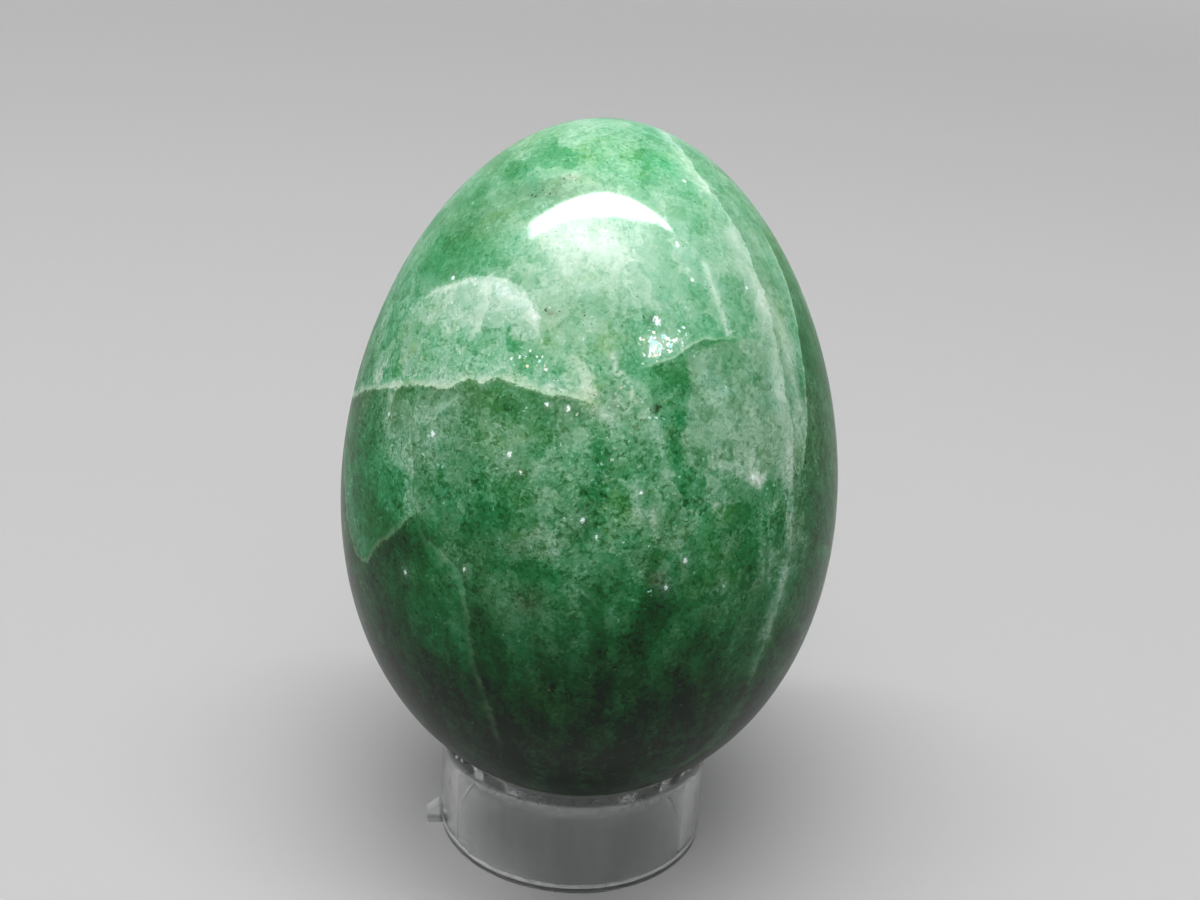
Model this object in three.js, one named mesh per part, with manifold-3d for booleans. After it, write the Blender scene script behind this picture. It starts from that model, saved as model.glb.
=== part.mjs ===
// A polished stone egg standing, blunt end down, in a short clear ring.
// Millimetres, +Z up. The origin is the centre of the ring's foot, on the table.
// The ring's gate nub points along -X, and the egg lifts straight up along +Z.

import * as THREE from "three";
import { mergeVertices } from "three/addons/utils/BufferGeometryUtils.js";
import Module from "manifold-3d";

const wasm = await Module();
wasm.setup();

// Ring stand: a moulded slice of tube
const RING_OUTER_DIAMETER = 25.4;
const RING_WALL = 1.6;
const RING_HEIGHT = 9.5;
const RING_EDGE_ROUNDING = 0.3;

// Gate nub: the small wedge that moulding leaves at the foot of the wall
const NUB_REACH = 1.5;
const NUB_HEIGHT = 2.0;
const NUB_TIP_HEIGHT = 0.7;
const NUB_WIDTH = 1.8;
const NUB_ROUNDING = 0.15;

// Stone egg
const EGG_WIDTH = 44.8;
const EGG_HEIGHT = 62.8;
const EGG_TAPER = 0.105; // how much the tip narrows and the blunt end fills out; 0 is an ellipsoid

// Fits
const SEAT_CLEARANCE = 0.3; // between the egg and the rim that carries it

// Fineness of the facets
const ROUND_SEGMENTS = 72;
const EGG_RINGS = 40;
const ROUNDING_STEPS = 3;

const ringOuterRadius = RING_OUTER_DIAMETER / 2;
const ringInnerRadius = ringOuterRadius - RING_WALL;
const ringMidRadius = (ringOuterRadius + ringInnerRadius) / 2;

// A lathed solid, turned from three.js's Y axis to the part's Z axis.
function latheAboutZ(profile) {
  return new THREE.LatheGeometry(profile, ROUND_SEGMENTS).rotateX(Math.PI / 2);
}

// A geometry as a closed solid that can be joined to another.
function toSolid(geometry) {
  const bare = new THREE.BufferGeometry();
  bare.setAttribute("position", geometry.getAttribute("position"));
  bare.setIndex(geometry.getIndex());
  const merged = mergeVertices(bare);
  return new wasm.Manifold(
    new wasm.Mesh({
      numProp: 3,
      vertProperties: merged.getAttribute("position").array,
      triVerts: new Uint32Array(merged.getIndex().array),
    }),
  );
}

// A solid as a geometry again.
function toGeometry(solid) {
  const { vertProperties, triVerts } = solid.getMesh();
  const geometry = new THREE.BufferGeometry();
  geometry.setAttribute("position", new THREE.BufferAttribute(vertProperties, 3));
  geometry.setIndex(new THREE.BufferAttribute(triVerts, 1));
  geometry.computeVertexNormals();
  return geometry;
}

// The wall's section: a tall rectangle with four rounded corners, counter-clockwise and closed.
function ringSection() {
  const inset = RING_EDGE_ROUNDING;
  const corners = [
    { x: ringOuterRadius - inset, y: inset, start: -Math.PI / 2 },
    { x: ringOuterRadius - inset, y: RING_HEIGHT - inset, start: 0 },
    { x: ringInnerRadius + inset, y: RING_HEIGHT - inset, start: Math.PI / 2 },
    { x: ringInnerRadius + inset, y: inset, start: Math.PI },
  ];
  const section = corners.flatMap(({ x, y, start }) =>
    new THREE.EllipseCurve(x, y, inset, inset, start, start + Math.PI / 2).getPoints(
      ROUNDING_STEPS,
    ),
  );
  return [...section, section[0].clone()];
}

// The gate nub: a wedge seen from the side, rooted in the middle of the wall.
function nubGeometry() {
  const tip = -(ringOuterRadius + NUB_REACH);
  const outline = new THREE.Shape([
    new THREE.Vector2(tip, 0),
    new THREE.Vector2(-ringMidRadius, 0),
    new THREE.Vector2(-ringMidRadius, NUB_HEIGHT),
    new THREE.Vector2(-ringOuterRadius, NUB_HEIGHT),
    new THREE.Vector2(tip, NUB_TIP_HEIGHT),
  ]);
  const geometry = new THREE.ExtrudeGeometry(outline, {
    depth: NUB_WIDTH - 2 * NUB_ROUNDING,
    bevelThickness: NUB_ROUNDING,
    bevelSize: NUB_ROUNDING,
    bevelOffset: -NUB_ROUNDING,
    bevelSegments: ROUNDING_STEPS,
  });
  return geometry
    .translate(0, 0, NUB_ROUNDING - NUB_WIDTH / 2)
    .rotateX(Math.PI / 2);
}

function ringGeometry() {
  const wall = toSolid(latheAboutZ(ringSection()));
  return toGeometry(wall.add(toSolid(nubGeometry())));
}

// The egg's outline is an ellipse whose radius is weighted by 1 + EGG_TAPER * cos(phi), where
// phi runs from 0 at the blunt bottom to PI at the tip. It is widest where the slope is nought.
const widestCosine =
  (2 * EGG_TAPER) / (1 + Math.sqrt(1 + 8 * EGG_TAPER * EGG_TAPER));
const eggRadiusScale =
  EGG_WIDTH /
  2 /
  (Math.sqrt(1 - widestCosine ** 2) * (1 + EGG_TAPER * widestCosine));

// A point of the outline: x is the radius, y the height above the egg's lowest point.
function eggPoint(phi) {
  const radius = eggRadiusScale * Math.sin(phi) * (1 + EGG_TAPER * Math.cos(phi));
  return new THREE.Vector2(radius, ((1 - Math.cos(phi)) / 2) * EGG_HEIGHT);
}

// The outward normal of the outline at phi.
function eggNormal(phi) {
  const radiusSlope =
    eggRadiusScale * (Math.cos(phi) + EGG_TAPER * Math.cos(2 * phi));
  const heightSlope = (Math.sin(phi) / 2) * EGG_HEIGHT;
  return new THREE.Vector2(heightSlope, -radiusSlope).normalize();
}

// How high the egg's lowest point stands. The outline, grown by the rim's rounding and the seat
// clearance, passes through the centre of that rounding, so the egg clears the rim all round.
function seatHeight() {
  const growth = RING_EDGE_ROUNDING + SEAT_CLEARANCE;
  const rim = new THREE.Vector2(
    ringInnerRadius + RING_EDGE_ROUNDING,
    RING_HEIGHT - RING_EDGE_ROUNDING,
  );
  const grownPoint = (phi) =>
    eggPoint(phi).addScaledVector(eggNormal(phi), growth);
  let low = 0;
  let high = Math.PI / 2;
  for (let step = 0; step < 50; step++) {
    const middle = (low + high) / 2;
    if (grownPoint(middle).x < rim.x) low = middle;
    else high = middle;
  }
  return rim.y - grownPoint(low).y;
}

function eggGeometry() {
  const outline = Array.from({ length: EGG_RINGS + 1 }, (_, ring) =>
    eggPoint((ring / EGG_RINGS) * Math.PI),
  );
  outline[0].x = 0;
  outline[EGG_RINGS].x = 0;
  return latheAboutZ(outline);
}

const clearPlastic = new THREE.MeshStandardMaterial({
  color: 0xe9ecec,
  roughness: 0.08,
  metalness: 0,
  transparent: true,
  opacity: 0.35,
});

const greenStone = new THREE.MeshStandardMaterial({
  color: 0x3c7d50,
  roughness: 0.12,
  metalness: 0,
});

const ringStand = new THREE.Mesh(ringGeometry(), clearPlastic);
ringStand.name = "ring_stand";

const stoneEgg = new THREE.Mesh(eggGeometry(), greenStone);
stoneEgg.name = "stone_egg";
stoneEgg.position.z = seatHeight();

const eggOnStand = new THREE.Group();
eggOnStand.name = "stone_egg_on_stand";
eggOnStand.add(ringStand, stoneEgg);

export default eggOnStand;
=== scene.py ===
"""A polished green stone egg standing, blunt end down, in a short clear plastic ring.

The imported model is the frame. This script gives the egg and the ring their fine meshes and
finishes, and sets them in a plain pale studio. Metres, +Z up; the camera looks from about -Y.
"""

from __future__ import annotations

import logging
import math
from dataclasses import dataclass
from enum import Enum
from functools import cached_property
from typing import Any, Callable, Mapping

import bpy
import numpy as np
from mathutils import Matrix, Vector


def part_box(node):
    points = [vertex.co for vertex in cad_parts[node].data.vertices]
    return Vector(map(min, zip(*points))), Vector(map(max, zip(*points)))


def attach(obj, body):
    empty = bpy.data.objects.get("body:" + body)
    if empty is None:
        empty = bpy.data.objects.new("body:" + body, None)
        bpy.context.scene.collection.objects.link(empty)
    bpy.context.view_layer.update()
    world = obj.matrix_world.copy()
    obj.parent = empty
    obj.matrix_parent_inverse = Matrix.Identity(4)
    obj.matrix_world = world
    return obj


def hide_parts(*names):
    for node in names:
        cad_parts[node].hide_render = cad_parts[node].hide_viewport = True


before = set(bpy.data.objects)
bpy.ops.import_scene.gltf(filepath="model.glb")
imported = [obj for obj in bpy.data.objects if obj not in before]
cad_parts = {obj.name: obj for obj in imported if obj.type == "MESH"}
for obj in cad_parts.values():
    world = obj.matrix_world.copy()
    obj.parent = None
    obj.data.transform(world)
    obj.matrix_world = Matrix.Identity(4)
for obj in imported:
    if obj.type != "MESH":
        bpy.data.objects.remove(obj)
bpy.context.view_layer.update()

MILLIMETRE = 0.001
SHARE = "_share"
FRONT = math.radians(-7.7)  # bearing of the photographed side, from -Y towards +X

logging.basicConfig(level=logging.INFO, format="%(levelname)s %(message)s")
log = logging.getLogger("stone_egg")

Colour = tuple[float, float, float]
Triple = tuple[float, float, float]
Stops = tuple[tuple[float, Colour], ...]


def ink(*levels: int) -> Colour:
    """Display red, green and blue from 0 to 255 as a shader's linear values, by the sRGB formula."""
    shares = (level / 255 for level in levels)
    return tuple(share / 12.92 if share <= 0.04045 else ((share + 0.055) / 1.055) ** 2.4 for share in shares)


def grey(level: float) -> Colour:
    """A grey of that linear level."""
    return (level, level, level)


# Shader graph


def arithmetic(operation: str, reflected: bool = False) -> Callable[..., Value]:
    """Makes a method of Value that adds a Math node.

    Args:
        operation: The node's operation.
        reflected: Whether the operands swap places.

    Returns:
        The method.
    """

    def method(self: Value, *others: Number) -> Value:
        """The Math node of this value and the others."""
        operands = (*others, self) if reflected else (self, *others)
        return self.graph.node("Math", {"operation": operation}, dict(enumerate(operands)))

    return method


class Value:
    """A socket of a shader graph; arithmetic on it adds Math nodes."""

    __add__ = __radd__ = arithmetic("ADD")
    __mul__ = __rmul__ = arithmetic("MULTIPLY")
    __sub__ = arithmetic("SUBTRACT")
    __rsub__ = arithmetic("SUBTRACT", reflected=True)
    __truediv__ = arithmetic("DIVIDE")
    size = arithmetic("ABSOLUTE")
    at_least = arithmetic("MAXIMUM")
    at_most = arithmetic("MINIMUM")
    exponential = arithmetic("EXPONENT")

    def __init__(self, graph: Graph, socket: bpy.types.NodeSocket) -> None:
        """Wraps an output socket of the graph."""
        self.graph = graph
        self.socket = socket

    def __neg__(self) -> Value:
        """-self."""
        return self * -1.0

    def decay(self) -> Value:
        """e to the power of minus self."""
        return (-self).exponential()

    def rise(self, low: Number, high: Number) -> Value:
        """0 below low, 1 above high, and a smooth step between them."""
        sockets = {"Value": self, "From Min": low, "From Max": high}
        return self.graph.node("MapRange", {"interpolation_type": "SMOOTHSTEP"}, sockets)


Number = Value | float


class Seen(Enum):
    """The kinds of ray that see the floor and the sky as pale as they are shown."""

    CAMERA = "Is Camera Ray"
    GLOSSY = "Is Glossy Ray"
    THROUGH = "Is Transmission Ray"


class Blend(Enum):
    """How a colour is laid over another."""

    COVER = "MIX"
    TINT = "MULTIPLY"


class CellPart(Enum):
    """What a distance in an irregular cell is measured from."""

    MIDDLE = "F1"
    EDGE = "DISTANCE_TO_EDGE"


class Graph:
    """The node tree of one material or world, written as expressions.

    Places and grains are in millimetres. A pattern is read at here unless it is given a place.
    """

    def __init__(self, owner: bpy.types.Material | bpy.types.World) -> None:
        """Takes a node tree and empties it of its default nodes.

        Args:
            owner: The material or world that it belongs to.
        """
        self.owner = owner
        owner.use_nodes = True
        self.tree = owner.node_tree
        self.tree.nodes.clear()

    def node(
        self,
        kind: str,
        settings: Mapping[str, Any],
        sockets: Mapping[int | str, Any],
        output: int | str = 0,
    ) -> Value:
        """Adds one node, sets it up and feeds it.

        Args:
            kind: The node's type, without ShaderNode in front.
            settings: Its properties, set first; "stops" are a ramp's positions and colours.
            sockets: What each input takes, by name or number: a Value is linked.
            output: The output wanted back.

        Returns:
            The output as a Value.
        """
        made = self.tree.nodes.new("ShaderNode" + kind)
        for name, setting in settings.items():
            if name == "stops":
                self._set_stops(made.color_ramp, setting)
            else:
                setattr(made, name, setting)
        for name, given in sockets.items():
            socket = made.inputs[name]
            if isinstance(given, Value):
                self.tree.links.new(given.socket, socket)
            else:
                socket.default_value = (*given, 1.0) if socket.type == "RGBA" else given
        return Value(self, made.outputs[output])

    @staticmethod
    def _set_stops(ramp: bpy.types.ColorRamp, stops: Stops) -> None:
        """Gives a ramp its stops.

        Args:
            ramp: The ramp, with the two stops that it comes with.
            stops: The positions and colours.
        """
        while len(ramp.elements) < len(stops):
            ramp.elements.new(1.0)
        for element, (position, colour) in zip(ramp.elements, stops):
            element.position = position
            element.color = (*colour, 1.0)

    def mix(self, first: Any, second: Any, share: Number, blend: Blend = Blend.COVER) -> Value:
        """The first colour with that share of the second laid over it."""
        settings = {"data_type": "RGBA", "clamp_factor": True, "blend_type": blend.value}
        return self.node("Mix", settings, {0: share, 6: first, 7: second}, 2)

    def between(self, share: Value, first: Value, second: Value) -> Value:
        """The first shader with that share of the second."""
        return self.node("MixShader", {}, {0: share, 1: first, 2: second})

    def ramp(self, value: Value, stops: Stops) -> Value:
        """A colour ramp read at value."""
        return self.node("ValToRGB", {"stops": stops}, {0: value})

    def vector(self, operation: str, *operands: Any, output: int | str = 0) -> Value:
        """A Vector Math node of that operation on the operands."""
        return self.node("VectorMath", {"operation": operation}, dict(enumerate(operands)), output)

    def along(self, place: Value, x: float, y: float, z: float) -> Value:
        """How far a place lies along the direction x, y, z."""
        return self.vector("DOT_PRODUCT", place, (x, y, z), output="Value")

    @cached_property
    def here(self) -> Value:
        """Where the shaded point lies on the piece."""
        metres = self.node("TexCoord", {}, {}, "Object")
        return self.node("Mapping", {}, {"Vector": metres, "Scale": (1 / MILLIMETRE,) * 3})

    def turned(self, turn: Triple, stretch: Triple, place: Value | None = None) -> Value:
        """A place turned by degrees about X, Y and Z, then scaled along each of them."""
        sockets = {"Vector": place or self.here, "Rotation": tuple(map(math.radians, turn))}
        return self.node("Mapping", {}, {"Vector": self.node("Mapping", {}, sockets), "Scale": stretch})

    def stirred(self, grain: float, reach: float) -> Value:
        """Here, pushed about, so that what is read there gets ragged outlines.

        Args:
            grain: The width of the pushes' lumps.
            reach: How far it is pushed.

        Returns:
            The new place.
        """
        sockets = {"Vector": self.here, "Scale": 1 / grain, "Detail": 2.0}
        push = self.node("TexNoise", {}, sockets, "Color")
        centred = self.vector("SUBTRACT", push, (0.5, 0.5, 0.5))
        return self.vector("MULTIPLY_ADD", centred, (reach * 4,) * 3, self.here)

    def noise(
        self,
        grain: float,
        detail: float = 2.0,
        rough: float = 0.55,
        swirl: float = 0.0,
        place: Value | None = None,
    ) -> Value:
        """Cloudy noise about nought, most of it between -1 and 1.

        Args:
            grain: The width of its largest lumps.
            detail: How many finer octaves it has.
            rough: How strong the finer octaves are.
            swirl: How far it is stirred.
            place: Where it is read.

        Returns:
            The noise.
        """
        sockets = {
            "Vector": place or self.here,
            "Scale": 1 / grain,
            "Detail": detail,
            "Roughness": rough,
            "Distortion": swirl,
        }
        return (self.node("TexNoise", {}, sockets) - 0.5) * 4.0

    def cells(
        self, grain: float, origin: CellPart = CellPart.MIDDLE, place: Value | None = None
    ) -> Value:
        """Distance from the middle or the edge of irregular cells that wide, in cells."""
        sockets = {"Vector": place or self.here, "Scale": 1 / grain}
        return self.node("TexVoronoi", {"feature": origin.value}, sockets, "Distance")

    def chance(self, grain: float, axis: int = 0, place: Value | None = None) -> Value:
        """A number from 0 to 1 for each irregular cell.

        Args:
            grain: The cells' width.
            axis: Which of the three numbers drawn for each cell is wanted.
            place: Where it is read.

        Returns:
            The number.
        """
        sockets = {"Vector": place or self.here, "Scale": 1 / grain}
        drawn = self.node("TexVoronoi", {}, sockets, "Color")
        return self.along(drawn, *(float(number == axis) for number in range(3)))

    def stored(self, name: str) -> Value:
        """A number stored on the mesh's points."""
        return self.node("Attribute", {"attribute_name": name}, {}, "Fac")

    def seen_pale(self) -> Value:
        """1 for the rays of every kind in Seen, 0 for the rest."""
        return sum(self.node("LightPath", {}, {}, seen.value) for seen in Seen)

    def surface(self, shader: Value) -> bpy.types.Material | bpy.types.World:
        """Ends the graph.

        Args:
            shader: What the surface or the sky shows.

        Returns:
            The graph's owner.
        """
        kind = "World" if isinstance(self.owner, bpy.types.World) else "Material"
        end = self.tree.nodes.new("ShaderNodeOutput" + kind)
        self.tree.links.new(shader.socket, end.inputs["Surface"])
        return self.owner


# The stone's marks, placed on the egg, with their lengths in millimetres

# Degrees from the middle of the photographed side to the right, and height above the egg's foot
Spot = tuple[float, float]
Course = tuple[Spot, ...]


@dataclass(frozen=True)
class Seam:
    """A healed crack that parts a lighter stretch of stone from a darker one."""

    spots: Course  # the lighter side is on the left of the way along it
    light: float  # how much lighter that side is at the crack
    light_reach: float  # over what length that fades
    dark: float  # how much darker the other side is at the crack
    dark_reach: float
    thread: float = 0.5  # how strong the pale line on the crack is
    thread_width: float = 0.3
    fray: float = 0.4  # how far the crack wanders from its course
    ends: float = 4.0  # over what length it fades towards its ends


@dataclass(frozen=True)
class Band:
    """A soft pale streak of mineral."""

    width: float
    strength: float  # how pale it is at its middle
    spots: Course


@dataclass(frozen=True)
class Pane:
    """A patch with a crisp frayed outline, such as a face of one crystal."""

    tone: float  # how much lighter it is, or darker below nought
    milk: float  # how much milkier it is, or clearer below nought
    spots: Course


@dataclass(frozen=True)
class Cloud:
    """A soft oval patch that differs from the rest."""

    spot: Spot
    across: float  # half its width
    up: float  # half its height
    tone: float = 0.0  # how much lighter it is, or darker below nought
    milk: float = 0.0  # how much milkier it is, or clearer below nought
    turn: float = 0.0  # degrees that it leans, counter-clockwise seen from outside
    rust: float = 0.0  # how much browner it is
    glints: float = 0.0  # the share of its crystals drawn as painted glints


SEAMS = {
    "long_seam": Seam(
        (
            (-150, 40), (-130, 37.5), (-110, 36), (-95, 36.6), (-79, 38.3), (-71, 40.1), (-63, 41.3),
            (-57, 42.1), (-53, 42.8), (-49, 43.4), (-44, 43.8), (-39, 44), (-36, 44.4), (-34, 45.1),
            (-31, 45.4), (-28, 45.2), (-26, 45.6), (-23, 45.9), (-17, 45.7), (-10, 45.4), (-3, 45.3),
            (0, 44.9), (4, 44.3),
        ),
        light=0.17, light_reach=1.4, dark=0.17, dark_reach=5, thread=0.6, thread_width=0.36, fray=0.35,
    ),
    "glitter_ledge": Seam(
        (
            (7, 47.3), (10, 47.6), (14, 47.8), (17, 48.1), (20, 48.3), (24, 49), (29, 49.4),
            (38, 49.1), (43, 49),
        ),
        light=0.08, light_reach=1.2, dark=0.12, dark_reach=3, thread=0.35, thread_width=0.2, fray=0.15,
    ),
    "cloud_top": Seam(
        (
            (-13.5, 48.4), (-14.5, 49.6), (-17.5, 51), (-21, 52), (-28, 52.7), (-35, 52.8), (-42, 52.2),
            (-48, 51.5), (-53, 50.6), (-57, 49.7), (-65, 48.7), (-75, 47.6), (-85, 47),
        ),
        light=0.06, light_reach=1.8, dark=0.04, dark_reach=1.5, thread=0.07, thread_width=0.4, fray=0.7,
    ),
    "left_wedge": Seam(
        (
            (-85, 34), (-78, 33), (-72, 30.8), (-68, 28.8), (-63, 26.6), (-59, 26.4), (-55, 27),
            (-51, 29.3), (-47, 30.6), (-43, 32.3), (-39, 34), (-37, 35),
        ),
        light=0.09, light_reach=3, dark=0.16, dark_reach=7, thread=0.22, fray=0.35, ends=2.5,
    ),
    "left_drop": Seam(
        ((-40, 33.5), (-41, 35), (-41, 36.6), (-43, 38.5), (-46, 41)),
        light=0.08, light_reach=2, dark=0.04, dark_reach=1.5,
        thread=0.12, thread_width=0.2, fray=0.2, ends=2.5,
    ),
    "right_line": Seam(
        (
            (36, 11), (40, 13), (43, 16), (43, 18.4), (44, 22), (46.5, 25.9), (49, 29.4), (50, 33.3),
            (51, 38), (53, 41), (52.5, 44.2), (54, 48), (56, 51), (57, 54.2), (58.5, 55.8),
            (57.5, 57.5), (59, 59), (61, 60), (68, 60.9), (80, 61.7), (110, 62),
        ),
        light=0.08, light_reach=1.3, dark=0.08, dark_reach=2.5, thread=0.1,
    ),
    "outer_line": Seam(
        (
            (53, 36.5), (56, 38.6), (59, 40.5), (62, 43.2), (65, 46.3), (69, 49), (73, 51.3),
            (75, 53.5), (78, 55.5),
        ),
        light=0.18, light_reach=1.6, dark=0.12, dark_reach=5, thread=0.2, fray=0.25, ends=3,
    ),
    "lower_left_line": Seam(
        (
            (-18.6, 12), (-18.6, 14.2), (-20, 17.7), (-22.6, 21.4), (-23.3, 24.2), (-24.2, 26.9),
            (-25.6, 29.5), (-27, 30.6), (-31, 31.5), (-36, 32.1), (-39, 34),
        ),
        light=0.1, light_reach=2, dark=0.07, dark_reach=2.5,
        thread=0.1, thread_width=0.45, fray=0.35, ends=3,
    ),
    "back_seam": Seam(
        ((100, 20), (118, 24), (135, 31), (150, 33), (166, 40), (182, 44), (198, 43), (215, 46)),
        light=0.13, light_reach=2.2, dark=0.14, dark_reach=5, thread=0.35, ends=5,
    ),
    "back_line": Seam(
        ((208, 10), (206, 18), (200, 26), (203, 34), (196, 42), (190, 50), (192, 57), (205, 61)),
        light=0.14, light_reach=1.6, dark=0.08, dark_reach=2.5, thread=0.25, fray=0.35,
    ),
}

BANDS = (
    Band(2.2, 0.22, ((110, 62), (80, 61.8), (66, 61.4), (58, 60.6), (57, 59.4))),
    Band(0.35, 0.6, ((3.7, 48.5), (4.6, 47.9), (5.6, 47.2))),
    Band(0.35, 0.6, ((5.6, 47.4), (7, 47), (8.2, 46.6))),
    Band(0.3, 0.5, ((8.6, 46), (9.4, 45.3))),
    Band(0.5, 0.35, ((-3, 44.9), (2, 44.3), (6, 43.6))),
    Band(1.4, 0.25, ((54, 56), (55, 54), (54, 52), (52, 49))),
    Band(1.8, 0.35, ((50, 46), (50, 42), (50, 38.5), (48.5, 34))),
    Band(2, 0.4, ((57, 51), (58, 47), (56, 43), (54, 40))),
    Band(1.8, 0.35, ((51.4, 37), (50, 32.8), (49.5, 30.2))),
    Band(2.4, 0.7, ((49, 29.4), (47.7, 28.3), (46.2, 26.2), (45, 23.8))),
    Band(1.8, 0.35, ((45, 23.8), (43.8, 21.2), (42.9, 18.4))),
    Band(1.6, 0.65, ((44.3, 18), (43.4, 15), (39.2, 11.1), (34, 9.5))),
    Band(2, 0.2, ((-32, 31), (-28, 29.5), (-27, 26), (-26, 22))),
    Band(0.6, 0.4, ((35, 54.5), (36, 52), (37, 49.6))),
    Band(1, 0.2, ((28, 37), (30, 33), (30, 30))),
    Band(0.5, 0.35, ((13.5, 37), (14, 36), (14.5, 35))),
    Band(0.5, 0.2, ((-20, 42.4), (-18, 41.9), (-14, 41.6))),
    Band(1, 0.28, ((-6, 48.2), (-3, 47.2), (-1, 45.9))),
    Band(0.8, 0.35, ((9.5, 39.4), (10.2, 38), (10.4, 36.6))),
    Band(0.5, 0.4, ((44, 36), (43, 32), (43, 29))),
    Band(0.4, 0.4, ((40, 35.5), (40, 32), (41, 30))),
    Band(0.9, 0.35, ((-56, 42.5), (-54, 40), (-50, 37.6), (-43, 36.8))),
    Band(0.8, 0.2, ((-20, 51.4), (-16.5, 50), (-14, 48.6))),
    Band(0.5, 0.45, ((-37.5, 42.7), (-35.5, 43.1), (-34, 43.7))),
    Band(0.7, 0.36, ((-55, 50.2), (-51, 50.7), (-48, 51.1), (-43, 51.9), (-40, 52))),
    Band(1.2, 0.22, ((-37, 51.8), (-31, 52.2), (-26, 52.2), (-22, 51.6))),
    Band(1.2, 0.5, ((38, 40), (39, 38.4), (40, 37.9))),
    Band(1, 0.25, ((10, 46.6), (13, 44.4), (16, 41.5), (18, 38.2))),
    Band(2.2, 0.4, ((140, 58), (150, 50), (152, 44))),
    Band(1.6, 0.4, ((240, 58), (250, 52), (255, 45), (250, 38))),
)

PANES = (
    Pane(-0.06, -0.07, (
        (13, 47.6), (13, 46.3), (14, 45), (16, 43.7), (17, 42.2), (18, 41.1), (19, 38.8), (20, 36.5),
        (21.5, 38), (21, 40), (20, 41.3), (19.7, 42.4), (20.5, 43.3), (22, 44.6), (23, 45.8),
        (23.5, 47.8), (20, 48.1),
    )),
    Pane(0.03, 0.28, (
        (24, 48.6), (23.5, 46), (22, 44.2), (20.5, 42.6), (21, 41.3), (23, 39.9), (25, 39.2),
        (27, 39.8), (30, 39.7), (33, 39.4), (35, 38.5), (39, 37.6), (42, 38.5), (46, 39.5),
        (49, 43), (50, 48), (44, 48.8), (34, 49),
    )),
    Pane(0.17, 0.35, (
        (27, 41.4), (32, 41), (37, 40.8), (42, 39.6), (42, 38.3), (39, 37.6), (35, 38.5),
        (33, 39.4), (30, 39.7), (27, 39.8),
    )),
    Pane(0.15, 0.2, ((21, 42.4), (25, 41.8), (26, 40.2), (25, 39.2), (23, 39.9), (21.2, 41.3))),
    Pane(0.02, 0.18, (
        (-55.5, 42), (-54, 40.4), (-52, 39.4), (-48, 38.2), (-43.7, 37), (-40.9, 36.6),
        (-39.9, 38.2), (-38.4, 40.5), (-37.5, 43.6), (-45, 43.2),
    )),
    Pane(0.07, 0.15, (
        (-62, 48.3), (-56, 49.8), (-53, 50.6), (-48, 51.6), (-42, 52.2), (-35, 52.8), (-28, 52.7),
        (-24, 52.4), (-20, 51.6), (-16, 50.5), (-15.5, 49.3), (-19, 48.9), (-23, 48.8),
        (-24.5, 49.7), (-28, 49.4), (-32, 48.9), (-42, 48.4), (-51, 47.8),
    )),
    Pane(0.07, 0.1, ((-50, 47.8), (-43, 46.9), (-39, 46.7), (-35, 47.2), (-33, 48.6), (-42, 48.4))),
    Pane(-0.1, -0.25, ((-24.5, 49.8), (-23.5, 47.8), (-18.5, 48.4), (-21.5, 48.7))),
    Pane(0.06, 0.06, ((-42, 49.6), (-33, 49.3), (-36.5, 46.4))),
    Pane(0.07, 0.12, (
        (-7, 48.4), (-1, 47.6), (1, 45.6), (-1, 45.2), (-5, 45.6), (-13, 45.8), (-10, 46.4),
    )),
    Pane(-0.09, -0.15, (
        (44.6, 45.6), (46.4, 45.2), (48.1, 44.2), (48.9, 43.3), (47.9, 42.6), (45.5, 42.3),
        (42.9, 42.6), (41.5, 43.5), (42, 44.6),
    )),
    Pane(-0.12, -0.2, (
        (43.1, 32.7), (42.4, 34.5), (44.4, 35.6), (47.2, 36.3), (48.2, 35.5), (47.7, 33.9), (47, 31),
    )),
    Pane(0.1, 0.3, ((130, 40), (150, 43), (158, 36), (146, 30), (132, 33))),
    Pane(-0.14, -0.2, ((222, 34), (236, 36), (240, 29), (230, 25), (220, 28))),
    Pane(0.12, 0.3, ((168, 57), (190, 56), (196, 51), (180, 49), (165, 52))),
)

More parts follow.
